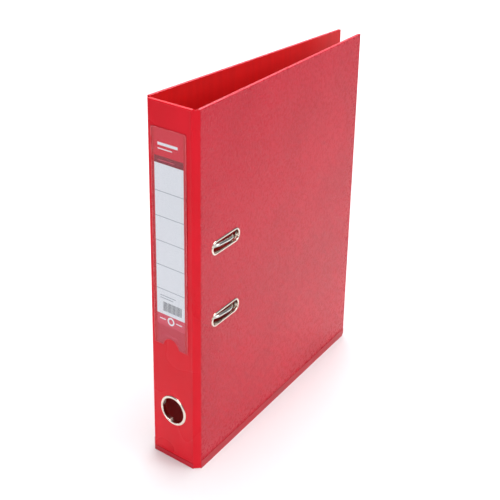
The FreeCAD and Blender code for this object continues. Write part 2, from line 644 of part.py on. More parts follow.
CRANK_Z = full_height("(dims.roller_length / 2 - 0.5)")
ROLLER_DROP = "5.7"   # roller axis below the lever pivot
ROLLER_X = "(dims.pivot_x + 0.5)"
CRANK_TOP = "(dims.pivot_h - %s - dims.roller_r - 0.6)" % ROLLER_DROP
finish("arch_crank", cut(
    "crank",
    fuse("crank_blank",
         rod("crank_collar", "z", "(dims.shaft_h - 0.2)", "dims.arch_x", lift("dims.shaft_h"), CRANK_Z),
         box("crank_tongue", ("dims.arch_x", ROLLER_X),
             (lift(CRANK_TOP), lift(CRANK_TOP + " - 1.1")), CRANK_Z)),
    shaft_seat))

# ---------------------------------------------------------------- lever, drawn along +X from its pivot
LEVER_Z = MECH_Z
CHEEK_Z = "(dims.roller_length / 2 + 0.5)"
CHEEK_T = "1.2"
LEVER_ANGLE = "-dims.lever_angle"


def lever_side(way, start, length):
    near, far = "(%d * (%s))" % (way, start), "(%d * (%s + %s))" % (way, start, length)
    return (near, far) if way > 0 else (far, near)


# The roller's axis in the lever's own frame.
ROLLER_S = "(0.5 * cos({0}) - {1} * sin({0}))".format("(dims.lever_angle * 1 deg)", ROLLER_DROP)
ROLLER_N = "(0.5 * sin({0}) + {1} * cos({0}))".format("(dims.lever_angle * 1 deg)", ROLLER_DROP)


def cheek(name, way):
    z = lever_side(way, CHEEK_Z, CHEEK_T)
    return fuse(
        name,
        rod(name + "_hub", "z", "(dims.pin_r + 2.2)", "0", "0", z),
        rod(name + "_foot", "z", "2.4", ROLLER_S, ROLLER_N, z),
        box(name + "_web", (ROLLER_S, "0"), ("0", ROLLER_N), z),
        box(name + "_arm", ("0", "14"), ("(-dims.lever_t / 2)", "3.4"), z))


arm_half = "(dims.lever_width / 2)"
lever_blank = fuse(
    "lever_blank",
    *[cheek("lever_cheek_%s" % side, way) for side, way in (("up", 1), ("down", -1))],
    box("lever_neck", ("4.5", "14"), ("(-dims.lever_t / 2)", "(dims.lever_t / 2)"),
        ("-(%s + %s)" % (CHEEK_Z, CHEEK_T), "(%s + %s)" % (CHEEK_Z, CHEEK_T))),
    box("lever_blade", ("12", "(dims.lever_reach - 2.5)"), ("(-dims.lever_t / 2)", "(dims.lever_t / 2)"),
        ("-%s" % arm_half, arm_half)),
    *[box("lever_flange_%s" % side, ("12", "(dims.lever_reach - 10)"), ("(-dims.lever_t / 2)", "2.6"),
          lever_side(way, "(dims.lever_width / 2 - 1.2)", "1.2")) for side, way in (("up", 1), ("down", -1))])
lever_arm = cut(
    "lever_arm", lever_blank,
    rod("lever_bore", "z", "(dims.pin_r + dims.fit)", "0", "0", ("-20", "20")),
    rod("roller_pin_bore", "z", "1.05", ROLLER_S, ROLLER_N, ("-20", "20")))
grip_half = "(dims.grip_width / 2)"
grip_block = box("grip_block", ("(dims.lever_reach - 9)", "dims.lever_reach"),
                 ("(-dims.grip_t / 2)", "(dims.grip_t / 2)"), ("-%s" % grip_half, grip_half))
doc.recompute()
lever_grip = cut(
    "lever_grip",
    rounded("grip_round", grip_block, range(1, 13), 2.2),
    box("grip_pocket", ("(dims.lever_reach - 12)", "(dims.lever_reach - 2.5)"),
        ("(-dims.lever_t / 2)", "(dims.lever_t / 2)"), ("-%s" % arm_half, arm_half)))
roller_pin = rod("roller_pin_rod", "z", "1", ROLLER_S, ROLLER_N,
                 ("-(%s + %s)" % (CHEEK_Z, CHEEK_T), "(%s + %s)" % (CHEEK_Z, CHEEK_T)))
roller_half = "(dims.roller_length / 2)"
roller = cut(
    "roller",
    rod("roller_blank", "z", "dims.roller_r", ROLLER_S, ROLLER_N, ("-%s" % roller_half, roller_half)),
    rod("roller_bore", "z", "(1 + dims.fit)", ROLLER_S, ROLLER_N, ("-20", "20")))
for label, piece in (("lever_arm", lever_arm), ("lever_grip", lever_grip),
                     ("roller_pin", group("roller_pin_set", roller_pin)), ("pressure_roller", roller)):
    turned(piece, "dims.pivot_x", lift("dims.pivot_h"), LEVER_Z, LEVER_ANGLE)
    finish(label, piece)

# ---------------------------------------------------------------- paper clamp and its latch
CLAMP_X = ("(dims.post_x - dims.clamp_width / 2)", "(dims.post_x + dims.clamp_width / 2)")
CLAMP_Z = full_height("(dims.clamp_length / 2)")
CLAMP_TOP = "(dims.clamp_h + dims.clamp_t)"
post_holes = fuse("clamp_holes", *[
    rod("clamp_hole_%s" % end, "y", "(dims.post_r + 4 * dims.fit)", "dims.post_x",
        (lift("12"), PLATE_Y), RING_ENDS[end]) for end in ("upper", "lower")])
finish("clamp_bar", cut(
    "clamp",
    fuse("clamp_channel",
         box("clamp_web", CLAMP_X, (lift(CLAMP_TOP), lift("dims.clamp_h")), CLAMP_Z),
         box("clamp_near_side", (CLAMP_X[0], "(%s + dims.clamp_t)" % CLAMP_X[0]),
             (lift("dims.clamp_h + 4"), lift("dims.clamp_h")), CLAMP_Z),
         box("clamp_far_side", ("(%s - dims.clamp_t)" % CLAMP_X[1], CLAMP_X[1]),
             (lift("dims.clamp_h + 4"), lift("dims.clamp_h")), CLAMP_Z)),
    post_holes))
LATCH_TRAVEL = "1.5"
LATCH_LOW = "(%s + 0.2)" % CLAMP_TOP
LATCH_TOP = "(%s + 1)" % CLAMP_TOP
LATCH_X = ("(%s + dims.clamp_t + 0.5)" % CLAMP_X[0], "(%s - dims.clamp_t - 0.5)" % CLAMP_X[1])
latch_slots = fuse("latch_slots", *[
    box("latch_slot_%s" % end, ("(dims.post_x - dims.post_r - 4 * dims.fit)",
                                "(dims.post_x + dims.post_r + 4 * dims.fit)"),
        (lift("12"), PLATE_Y),
        ("(%s - dims.post_r - %s - 0.4)" % (RING_ENDS[end], LATCH_TRAVEL),
         "(%s + dims.post_r + %s + 0.4)" % (RING_ENDS[end], LATCH_TRAVEL))) for end in ("upper", "lower")])
finish("clamp_latch", cut(
    "latch",
    fuse("latch_blank",
         box("latch_strip", LATCH_X, (lift(LATCH_TOP), lift(LATCH_LOW)),
             full_height("(dims.ring_pitch / 2 + 7)")),
         box("latch_tab", LATCH_X, (lift("(%s + 4)" % LATCH_TOP), lift(LATCH_LOW)),
             ("(%s + 12)" % MECH_Z, "(%s + 13)" % MECH_Z))),
    latch_slots))

# ---------------------------------------------------------------- checks and export
doc.recompute()
for item in doc.Objects:
    if {"Invalid", "Error"} & set(item.State):
        raise RuntimeError("%s failed: %s" % (item.Label, item.State))
os.makedirs("parts", exist_ok=True)
for piece in finished:
    shape = piece.Shape
    if shape.isNull() or not shape.isValid() or not shape.Solids:
        raise RuntimeError("%s has no valid solid" % piece.Label)
    shape.exportStep("parts/%s.step" % piece.Label)
    print("%-26s %2d solid(s) %10.1f mm3" % (piece.Label, len(shape.Solids), shape.Volume))
print(len(finished), "nodes")
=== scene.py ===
import math

import bmesh
import bpy
from mathutils import Matrix, Vector


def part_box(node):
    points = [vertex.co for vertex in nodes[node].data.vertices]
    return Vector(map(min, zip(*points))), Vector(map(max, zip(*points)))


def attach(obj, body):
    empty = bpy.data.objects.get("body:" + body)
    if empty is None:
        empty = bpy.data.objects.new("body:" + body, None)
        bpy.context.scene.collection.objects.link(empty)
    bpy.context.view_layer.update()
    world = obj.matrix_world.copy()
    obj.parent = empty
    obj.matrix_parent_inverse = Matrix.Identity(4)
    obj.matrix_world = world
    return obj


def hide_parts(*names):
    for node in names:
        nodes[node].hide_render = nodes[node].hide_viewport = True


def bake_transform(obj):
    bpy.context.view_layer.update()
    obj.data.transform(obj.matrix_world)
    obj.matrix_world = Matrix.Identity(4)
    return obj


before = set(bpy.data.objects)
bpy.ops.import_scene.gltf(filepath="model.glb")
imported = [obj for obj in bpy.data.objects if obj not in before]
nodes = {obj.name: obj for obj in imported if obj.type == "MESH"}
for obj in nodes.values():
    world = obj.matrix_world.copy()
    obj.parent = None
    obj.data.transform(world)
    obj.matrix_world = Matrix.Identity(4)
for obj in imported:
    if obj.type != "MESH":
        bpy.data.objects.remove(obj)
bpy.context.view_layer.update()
mm = 0.001
print("frame:", len(nodes), "nodes")


# ---- small tools shared by the finishes
def toLinear(hexColour):
    channels = [int(hexColour[i:i + 2], 16) / 255 for i in (1, 3, 5)]
    return tuple(c / 12.92 if c <= 0.04045 else ((c + 0.055) / 1.055) ** 2.4 for c in channels) + (1.0,)


def addNode(tree, kind, settings=None, inputs=None):
    node = tree.nodes.new(kind)
    for name, value in (settings or {}).items():
        setattr(node, name, value)
    for name, value in (inputs or {}).items():
        if isinstance(value, bpy.types.NodeSocket):
            tree.links.new(value, node.inputs[name])
        else:
            node.inputs[name].default_value = value
    return node


def maths(tree, operation, *values):
    return addNode(tree, "ShaderNodeMath", {"operation": operation}, dict(enumerate(values))).outputs[0]


def startMaterial(name, shaderValues):
    material = bpy.data.materials.new(name)
    material.use_nodes = True
    tree = material.node_tree
    shader = tree.nodes["Principled BSDF"]
    for socket, value in shaderValues.items():
        shader.inputs[socket].default_value = value
    place = addNode(tree, "ShaderNodeTexCoord").outputs["Object"]
    return material, tree, shader, place


def perMetre(size):
    return 1.0 / size  # texture repeats per metre for a feature of this size


def tones(tree, factor, dark, light):
    ramp = addNode(tree, "ShaderNodeValToRGB", inputs={"Fac": factor})
    first, last = ramp.color_ramp.elements
    first.position, last.position = 0.35, 0.65  # a noise pattern rarely leaves this range
    first.color, last.color = toLinear(dark), toLinear(light)
    return ramp.outputs["Color"]


def spread(tree, factor, low, high):
    return addNode(tree, "ShaderNodeMapRange", inputs={
        "Value": factor, "From Min": 0.3, "From Max": 0.7, "To Min": low, "To Max": high}).outputs["Result"]


def noise(tree, place, size, detail, distortion=0.0):
    return addNode(tree, "ShaderNodeTexNoise", inputs={
        "Vector": place, "Scale": perMetre(size), "Detail": detail, "Distortion": distortion}).outputs["Fac"]


def dent(tree, shader, height, depth, strength, under=None):
    inputs = {"Height": height, "Distance": depth, "Strength": strength}
    if under is not None:
        inputs["Normal"] = under
    bump = addNode(tree, "ShaderNodeBump", inputs=inputs)
    tree.links.new(bump.outputs["Normal"], shader.inputs["Normal"])
    return bump.outputs["Normal"]


def stretched(tree, place, amounts):
    return addNode(tree, "ShaderNodeMapping", inputs={"Vector": place, "Scale": amounts}).outputs["Vector"]


# ---- finishes that are noise patterns alone
# patterns: size, detail, then the stretch along x, y and z. colour: pattern, dark, light.
# roughness: pattern, low, high. relief: pattern, depth, strength.
evenly = (1, 1, 1)
patternFinishes = {
    # The foil left smooth over the spine and hinges, with the slow ripple of a foil welded over board.
    "smooth": {
        "name": "smooth polypropylene foil", "shader": {"IOR": 1.49, "Specular IOR Level": 0.2},
        "patterns": {"ripple": (26 * mm, 2.0, (1, 1, 0.4)), "haze": (60 * mm, 1.0, evenly)},
        "colour": ("ripple", "#d60c20", "#de0e24"), "roughness": ("haze", 0.26, 0.3),
        "relief": ("ripple", 0.2 * mm, 0.15)},
    # Matt lining foil: drier than the outside, with a faint vertical calender streak.
    "liner": {
        "name": "matt lining foil", "shader": {"IOR": 1.49},
        "patterns": {"streak": (5 * mm, 3.0, (1, 1, 0.08)), "grain": (1.2 * mm, 2.0, evenly)},
        "colour": ("streak", "#d20a0e", "#da0c10"), "roughness": ("grain", 0.42, 0.55),
        "relief": ("grain", 0.05 * mm, 0.6)},
    # Thin rolled steel edging in stoved enamel: even and deep red, with a very fine peel.
    "rail": {
        "name": "stoved enamel on rolled steel", "shader": {"IOR": 1.5, "Specular IOR Level": 0.35},
        "patterns": {"wear": (60 * mm, 2.0, evenly), "peel": (1.2 * mm, 1.0, evenly)},
        "colour": ("wear", "#b80c22", "#c40e26"), "roughness": ("wear", 0.28, 0.34),
        "relief": ("peel", 0.02 * mm, 0.3)},
    # Recycled grey board: mixed short fibres, dry and slightly rough.
    "board": {
        "name": "recycled grey board", "shader": {"IOR": 1.45},
        "patterns": {"fibres": (1.5 * mm, 5.0, (1, 4, 1), 0.6)},
        "colour": ("fibres", "#7d776e", "#a39c90"), "roughness": ("fibres", 0.82, 0.95),
        "relief": ("fibres", 0.1 * mm, 0.7)},
    # Bright nickel plate: a warm grey mirror, dulled by hairline handling marks.
    "eyelet": {
        "name": "bright nickel eyelets", "shader": {"Metallic": 1.0},
        "patterns": {"marks": (2 * mm, 4.0, (1, 1, 6)), "stain": (6 * mm, 2.0, evenly)},
        "colour": ("stain", "#d8ccbe", "#ece2d6"), "roughness": ("marks", 0.16, 0.26),
        "relief": ("marks", 0.01 * mm, 0.4)},
    "wire": {
        "name": "bright nickel wire", "shader": {"Metallic": 1.0},
        "patterns": {"marks": (3 * mm, 4.0, (1, 1, 6)), "stain": (6 * mm, 2.0, evenly)},
        "colour": ("stain", "#c6c4c0", "#dcdad6"), "roughness": ("marks", 0.12, 0.22),
        "relief": ("marks", 0.01 * mm, 0.4)},
    # Pressed steel sheet, barrel plated: the rolling lines still show under the nickel.
    "sheet": {
        "name": "nickel plated pressed sheet", "shader": {"Metallic": 1.0, "Anisotropic": 0.3},
        "patterns": {"lines": (3 * mm, 4.0, (8, 8, 0.5)), "stain": (8 * mm, 2.0, evenly)},
        "colour": ("stain", "#b9b8b4", "#cfcdc8"), "roughness": ("lines", 0.2, 0.34),
        "relief": ("lines", 0.02 * mm, 0.5)},
    # Turned and zinc plated steel of the rivets, pins and roller.
    "turned": {
        "name": "zinc plated turned steel", "shader": {"Metallic": 1.0},
        "patterns": {"rings": (1.5 * mm, 3.0, (1, 1, 10))},
        "colour": ("rings", "#a8aaae", "#c6c8cc"), "roughness": ("rings", 0.22, 0.36),
        "relief": ("rings", 0.02 * mm, 0.4)},
    # Heat-tempered spring strip: straw to blue oxide, satin.
    "spring": {
        "name": "tempered spring steel", "shader": {"Metallic": 1.0},
        "patterns": {"oxide": (7 * mm, 3.0, evenly)},
        "colour": ("oxide", "#5a6274", "#8a7a62"), "roughness": ("oxide", 0.3, 0.42),
        "relief": ("oxide", 0.01 * mm, 0.4)},
    # Injection moulded ABS with a fine spark-eroded texture.
    "grip": {
        "name": "moulded black ABS", "shader": {"IOR": 1.53},
        "patterns": {"spark": (0.8 * mm, 3.0, evenly)},
        "colour": ("spark", "#141416", "#202023"), "roughness": ("spark", 0.36, 0.5),
        "relief": ("spark", 0.05 * mm, 0.6)},
    # Clear PVC film, a little slack: faint haze, and slow ripples that bend the highlight.
    "film": {
        "name": "clear PVC film", "shader": {"IOR": 1.53, "Alpha": 0.05, "Specular IOR Level": 0.38},
        "patterns": {"slack": (22 * mm, 2.0, (1, 1, 0.35)), "haze": (2.5 * mm, 3.0, evenly)},
        "colour": ("haze", "#a8a4aa", "#b6b2b8"), "roughness": ("haze", 0.1, 0.2),
        "relief": ("slack", 0.25 * mm, 0.6)},
    # Where the film is welded to the foil: tinted by the red below, and lightened into a painted highlight
    # along its rounded crest.
    "filmEdge": {
        "name": "welded film edge", "shader": {"IOR": 1.53},
        "patterns": {"crest": (9 * mm, 2.0, evenly)},
        # the light pink of the weld is a painted highlight along its crest, not the film's own colour
        "colour": ("crest", "#e23a48", "#f06a74"), "roughness": ("crest", 0.16, 0.26),
        "relief": ("crest", 0.05 * mm, 0.4)},
    # Matt white sweep that the file stands on.
    "floor": {
        "name": "matt white sweep", "shader": {"IOR": 1.4, "Specular IOR Level": 0.2},
        "patterns": {"patches": (300 * mm, 2.0, evenly)},
        "colour": ("patches", "#f1f1f1", "#f4f4f4"), "roughness": ("patches", 0.8, 0.9)},
}


def patternFinish(facts):
    material, tree, shader, place = startMaterial(facts["name"], facts["shader"])
    made = {}
    for key, (size, detail, stretch, *distortion) in facts["patterns"].items():
        where = place if stretch == evenly else stretched(tree, place, stretch)
        made[key] = noise(tree, where, size, detail, *distortion)
    pattern, dark, light = facts["colour"]
    tree.links.new(tones(tree, made[pattern], dark, light), shader.inputs["Base Color"])
    pattern, low, high = facts["roughness"]
    tree.links.new(spread(tree, made[pattern], low, high), shader.inputs["Roughness"])
    if "relief" in facts:
        pattern, depth, strength = facts["relief"]
        dent(tree, shader, made[pattern], depth, strength)
    return material


# ---- finishes with a build of their own
coverFoil = {
    "deep": "#c20c28", "bright": "#cc0e2c", "specular": 0.27, "roughness": (0.23, 0.34),
    "pebble": 1.7 * mm, "pebbleRounding": 0.6, "pebbleDepth": 0.3 * mm, "pebbleStrength": 0.8,
    "scuff": 3 * mm, "cloud": 90 * mm, "waveDepth": 0.4 * mm, "waveStrength": 0.2}


def embossedPolypropyleneFoil():
    # Calendered polypropylene foil with a fine pebbled emboss: a soft broad sheen broken into small sparks.
    # The real pebbles are about 0.6 mm and are drawn at 1.7 mm, so that they show.
    material, tree, shader, place = startMaterial("embossed polypropylene foil", {
        "IOR": 1.49, "Specular IOR Level": coverFoil["specular"]})
    pebbles = addNode(tree, "ShaderNodeTexVoronoi", {"feature": "SMOOTH_F1"}, {
        "Vector": place, "Scale": perMetre(coverFoil["pebble"]),
        "Smoothness": coverFoil["pebbleRounding"]}).outputs["Distance"]
    scuffs = noise(tree, place, coverFoil["scuff"], 4.0)
    cloud = noise(tree, place, coverFoil["cloud"], 2.0)
    colour = tones(tree, cloud, coverFoil["deep"], coverFoil["bright"])
    tree.links.new(colour, shader.inputs["Base Color"])
    tree.links.new(spread(tree, scuffs, *coverFoil["roughness"]), shader.inputs["Roughness"])
    wave = dent(tree, shader, cloud, coverFoil["waveDepth"], coverFoil["waveStrength"])
    dent(tree, shader, pebbles, coverFoil["pebbleDepth"], coverFoil["pebbleStrength"], wave)
    return material


label = {  # heights above the shelf and distances from the label's middle, in mm
    "bleed": "#cc1420", "paper": "#eceef3", "paperShade": "#e4e7ec", "head": "#dc1e34", "stripe": "#8c1c2a",
    "line": "#969ca8", "foot": "#c82c40", "footBand": "#da4a5e", "ink": "#45474e",
    "panel": (150, 291.5), "panelHalf": 16, "headFoot": 298, "bandFoot": 139,
    "writingLines": [266.5, 243.5, 220.5, 197.5, 174.5], "lineHalf": 0.3,
    "bars": (153.5, 162.5), "barSpan": (-13, 9), "barPitch": 1.5, "barGap": 0.45,
    "emblemHeight": 145, "emblemRadius": 3.2, "emblemHalf": 0.8,
    "fibre": 1.4, "fibreDepth": 0.04, "fibreStrength": 0.4, "roughness": (0.62, 0.76),
    "marks": [((-10, 12), (307.5, 310), "paper"), ((-4, 12), (304, 305), "paper"),
              ((-6, 12), (294, 294.8), "footBand"), ((-8, 8), (129, 130.2), "footBand"),
              ((6, 13), (144.6, 145.6), "paper"), ((-13, -6), (144.6, 145.6), "paper"),
              ((-6, 12), (168, 168.7), "line"), ((-3, 12), (165.6, 166.3), "line")],
}


def printedCard():
    # Uncoated 250 g card printed in a few colours: a head block, writing lines, a bar strip and a foot.
    material, tree, shader, place = startMaterial("printed label card", {"IOR": 1.47})
    low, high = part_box("label_card")
    middle = (low.y + high.y) / 2 / mm
    split = addNode(tree, "ShaderNodeSeparateXYZ", inputs={"Vector": place})
    across, up = split.outputs["Y"], split.outputs["Z"]
    fibres = noise(tree, place, label["fibre"] * mm, 4.0)

    def within(socket, first, last):
        return maths(tree, "COMPARE", socket, (first + last) / 2 * mm, (last - first) / 2 * mm)

    def block(left, right, first, last):
        return maths(tree, "MULTIPLY", within(across, middle + left, middle + right), within(up, first, last))

    def printOver(under, mask, ink):
        mixer = addNode(tree, "ShaderNodeMix", {"data_type": "RGBA"}, {"Factor": mask, 6: under, 7: ink})
        return mixer.outputs[2]

    half, headFoot, bandFoot = label["panelHalf"], label["headFoot"], label["bandFoot"]
    panelLow, panelHigh = label["panel"]
    paper = tones(tree, fibres, label["paperShade"], label["paper"])
    colour = printOver(toLinear(label["bleed"]), block(-half, half, panelLow, panelHigh), paper)
    bands = [(headFoot, high.z / mm, "head"), (panelHigh, headFoot, "stripe"),
             (bandFoot, panelLow, "footBand"), (low.z / mm, bandFoot, "foot")]
    blocks = [((-half, half), (first, last), ink) for first, last, ink in bands] + label["marks"]
    blocks += [((-half, half), (z - label["lineHalf"], z + label["lineHalf"]), "line")
               for z in label["writingLines"]]
    for (left, right), (first, last), ink in blocks:
        colour = printOver(colour, block(left, right, first, last), toLinear(label[ink]))
    step = maths(tree, "FRACT", maths(tree, "MULTIPLY", across, perMetre(label["barPitch"] * mm)))
    bars = maths(tree, "GREATER_THAN", step, label["barGap"])
    strip = block(*label["barSpan"], *label["bars"])
    colour = printOver(colour, maths(tree, "MULTIPLY", bars, strip), toLinear(label["ink"]))
    centre = (low.x, middle * mm, label["emblemHeight"] * mm)
    away = addNode(tree, "ShaderNodeVectorMath", {"operation": "DISTANCE"}, {0: place, 1: centre})
    emblem = maths(tree, "COMPARE", away.outputs["Value"], label["emblemRadius"] * mm, label["emblemHalf"] * mm)
    colour = printOver(colour, emblem, toLinear(label["paper"]))
    tree.links.new(colour, shader.inputs["Base Color"])
    tree.links.new(spread(tree, fibres, *label["roughness"]), shader.inputs["Roughness"])
    dent(tree, shader, fibres, label["fibreDepth"] * mm, label["fibreStrength"])
    return material


finishes = {key: patternFinish(facts) for key, facts in patternFinishes.items()}
finishes["embossed"] = embossedPolypropyleneFoil()
finishes["card"] = printedCard()
nodeFinishes = {
    "embossed": ["front_cover_foil", "back_cover_foil"], "smooth": ["spine_foil"],
    "liner": ["front_cover_liner", "back_cover_liner", "spine_liner"],
    "rail": ["front_cover_rail", "back_cover_rail", "spine_rail"],
    "board": ["front_cover_board", "back_cover_board", "spine_board"],
    "eyelet": ["finger_ring_clinch_plate", "upper_slot_clinch_plate", "lower_slot_clinch_plate"],
    "wire": ["upper_arch", "lower_arch", "upper_post", "lower_post", "arch_shaft"],
    "sheet": ["base_plate", "lever_arm", "arch_crank", "clamp_bar", "clamp_latch"],
    "turned": ["base_plate_rivets", "rivet_caps", "spring_rivet", "lever_pin", "roller_pin",
               "pressure_roller"],
    "spring": ["leaf_spring"], "grip": ["lever_grip"], "film": ["label_pocket"], "card": ["label_card"],
}
edgeRounding = {  # width of the eased edge in mm, by CAD part
    "front_cover_foil": 0.5, "back_cover_foil": 0.5, "spine_foil": 0.35, "front_cover_rail": 0.3,
    "back_cover_rail": 0.3, "spine_rail": 0.3, "base_plate": 0.25, "clamp_bar": 0.2, "clamp_latch": 0.2,
    "lever_arm": 0.25, "rivet_caps": 0.2, "base_plate_rivets": 0.2, "arch_crank": 0.2,
}
for finish, names in nodeFinishes.items():
    for name in names:
        part = nodes[name]
        part.data.materials.clear()
        part.data.materials.append(finishes[finish])
for name, width in edgeRounding.items():
    easing = nodes[name].modifiers.new("eased edges", "BEVEL")
    easing.width = width * mm
    easing.segments = 2
    easing.limit_method = "ANGLE"
    easing.angle_limit = math.radians(40)
    easing.use_clamp_overlap = True
print("finishes:", len(finishes))

# ---- places taken from the frame
spineLow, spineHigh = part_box("spine_foil")
backLow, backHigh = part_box("back_cover_foil")
frontLow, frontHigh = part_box("front_cover_foil")
coverTilt = math.radians(6.1)  # lean of the shut front cover
panelThickness = spineHigh.x   # of a wrapped board
hingeX = backLow.x             # where the covers start
# Each place takes (distance along the panel, depth into it, height).
frontPlace = Matrix.Translation((hingeX, frontLow.y, 0)) @ Matrix.Rotation(coverTilt, 4, "Z")
backPlace = Matrix(((1, 0, 0, 0), (0, -1, 0, backHigh.y), (0, 0, 1, 0), (0, 0, 0, 1)))
spinePlace = Matrix(((0, 1, 0, 0), (1, 0, 0, 0), (0, 0, 1, 0), (0, 0, 0, 1)))


# ---- tools shared by the pieces
def buildPiece(name, points, faces, finish, body):
    mesh = bpy.data.meshes.new(name)
    mesh.from_pydata(points, [], faces)
    mesh.update()
    shape = bmesh.new()
    shape.from_mesh(mesh)
    bmesh.ops.recalc_face_normals(shape, faces=shape.faces)
    shape.to_mesh(mesh)
    shape.free()
    mesh.shade_smooth()
    mesh.set_sharp_from_angle(angle=math.radians(38))
    mesh.materials.append(finishes[finish])
    piece = bpy.data.objects.new(name, mesh)
    bpy.context.scene.collection.objects.link(piece)
    if body:
        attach(piece, body)
    return piece


def ringFaces(rings, count, closed):
    # Quads between rings of points, with end caps unless the last ring joins the first.
    faces = []
    for i in range(rings if closed else rings - 1):
        j = (i + 1) % rings
        for k in range(count):
            m = (k + 1) % count
            faces.append((i * count + k, i * count + m, j * count + m, j * count + k))
    if not closed:
        faces.append(tuple(range(count)))
        faces.append(tuple((rings - 1) * count + k for k in reversed(range(count))))
    return faces


def sweep(name, stations, profile, finish, body, closed=True):
    # A closed profile of (outward, inward) offsets, placed at each station in turn.
    points = [station(out, depth) for station in stations for out, depth in profile]
    return buildPiece(name, points, ringFaces(len(stations), len(profile), closed), finish, body)


def turningStations(place, radius, turns):
    # Stations round a curve of arcs. Each turn is the arc's centre along the panel, its height and the angle.
    return [lambda out, depth, u=u, z=z, a=a: place @ Vector((
        u + (radius + out) * math.cos(a), depth, z + (radius + out) * math.sin(a))) for u, z, a in turns]


def stadium(place, length, width, centreU, centreZ, steps=20):
    end = (length - width) / 2
    turns = [(centreU + side * end, centreZ, way - math.pi / 2 + math.pi * i / steps)
             for side, way in ((1, 0), (-1, math.pi)) for i in range(steps + 1)]
    return turningStations(place, width / 2, turns)


def wireTube(name, route, radius, finish, body, sides=10):
    stations = []
    side = Vector((0, 0, 1))
    for i, spot in enumerate(route):
        ahead = (route[min(i + 1, len(route) - 1)] - route[max(i - 1, 0)]).normalized()
        side = side - ahead * side.dot(ahead)
        side = side.normalized() if side.length > 1e-6 else ahead.orthogonal().normalized()
        stations.append(
            lambda out, depth, c=spot, a=side.copy(), b=ahead.cross(side): c + a * out + b * depth)
    turns = [2 * math.pi * k / sides for k in range(sides)]
    profile = [(radius * math.cos(t), radius * math.sin(t)) for t in turns]
    return sweep(name, stations, profile, finish, body, closed=False)


# ---- pressed eyelets of the slots and the finger ring
eyelet = {"flange": 2.0 * mm, "wall": 0.5 * mm, "ringFlange": 2.6 * mm, "ringWall": 0.6 * mm,
          "proud": 0.8 * mm, "clinch": 0.6 * mm, "underside": 0.02 * mm, "slotLength": 40 * mm,
          "lipRound": 0.55,  # the lip's radius as a share of its rise
          "crown": 0.62}     # how far out the flange stays flat, as a share of its width


def rolledProfile(flange, wall):
    # From the sleeve's inner end, up over the rolled lip, out to the flange's edge and back.
    proud, depth = eyelet["proud"], panelThickness + eyelet["clinch"]
    lip, crown = eyelet["lipRound"] * proud, eyelet["crown"] * flange
    points = [(0.0, depth), (0.0, 0.0)]
    points += [(lip - lip * math.cos(a), -proud * math.sin(a))
               for a in (math.radians(d) for d in (15, 35, 55, 75, 90))]
    points += [(crown, -proud)]
    points += [(crown + (flange - crown) * math.sin(a), -proud * math.cos(a))
               for a in (math.radians(d) for d in (25, 50, 72, 88))]
    points += [(wall, -eyelet["underside"]), (wall, depth)]
    return points


for end in ("upper", "lower"):
    low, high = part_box(end + "_slot_eyelet")
    slotWidth = (high.z - low.z) - 2 * eyelet["flange"]
    centre = frontPlace.inverted() @ ((low + high) / 2)
    piece = sweep(
        end + "SlotEyelet", stadium(frontPlace, eyelet["slotLength"], slotWidth, centre.x, centre.z),
        rolledProfile(eyelet["flange"], eyelet["wall"]), "eyelet", "front_cover")
    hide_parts(end + "_slot_eyelet")
ringLow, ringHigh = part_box("finger_ring")
ringBore = (ringHigh.z - ringLow.z) / 2 - eyelet["ringFlange"]
ring = sweep(
    "fingerRing", stadium(spinePlace, 2 * ringBore, 2 * ringBore, 0, (ringLow.z + ringHigh.z) / 2, 36),
    rolledProfile(eyelet["ringFlange"], eyelet["ringWall"]), "eyelet", "spine")
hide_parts("finger_ring")
print("eyelets: 3")

# ---- living hinges
hinge = {"thickness": 0.5 * mm, "across": 16, "up": 6,
         "grooveDepth": 0.18 * mm,
         "groovePlaces": (0.14, 0.86), "grooveWidth": 0.05}  # as shares of the strip's width


def livingHinge(name, startPoint, endPoint, node):
    # A strip of welded foil between two panels, with a thinned groove beside each weld.
    span = endPoint - startPoint
    inward = Vector((span.y, -span.x, 0)).normalized()
    if inward.x < 0:
        inward = -inward
    low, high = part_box(node)
    points, faces = [], []
    across, up = hinge["across"], hinge["up"]
    for row in range(up + 1):
        height = low.z + (high.z - low.z) * row / up
        for outside in (True, False):
            for t in (i / across for i in range(across + 1)):
                groove = hinge["grooveDepth"] * sum(
                    math.exp(-((t - spot) / hinge["grooveWidth"]) ** 2) for spot in hinge["groovePlaces"])
                spot = startPoint + span * t + inward * (groove if outside else hinge["thickness"])
                points.append((spot.x, spot.y, height))
    width = across + 1
    rowSize = 2 * width
    for a in range(0, up * rowSize, rowSize):
        b = a + rowSize
        for i in range(across):
            faces.append((a + i, a + i + 1, b + i + 1, b + i))
            faces.append((a + width + i, b + width + i, b + width + i + 1, a + width + i + 1))
        for i, k in ((0, width), (across, width + across)):
            faces.append((a + i, b + i, b + k, a + k))
    for base in (0, up * rowSize):
        for i in range(across):
            faces.append((base + i, base + width + i, base + width + i + 1, base + i + 1))
    piece = buildPiece(name, points, faces, "smooth", None)
    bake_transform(piece)
    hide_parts(node)


livingHinge("frontHinge", Vector((0, spineLow.y, 0)), Vector((hingeX, frontLow.y, 0)),
            "front_hinge_strip")
livingHinge("backHinge", Vector((0, spineHigh.y, 0)), Vector((hingeX, backHigh.y, 0)),
            "back_hinge_strip")
print("hinges: 2")

# ---- weld beads: the raised seam round each panel where the two foils are welded together
bead = {"inset": 1.0 * mm, "halfWidth": 0.55 * mm, "rise": 0.2 * mm, "sunk": 0.05 * mm, "corner": 1.6 * mm,
        "aboveRail": 0.8 * mm, "shoulder": (0.6, 0.7)}  # the shoulder's place out and up, as shares


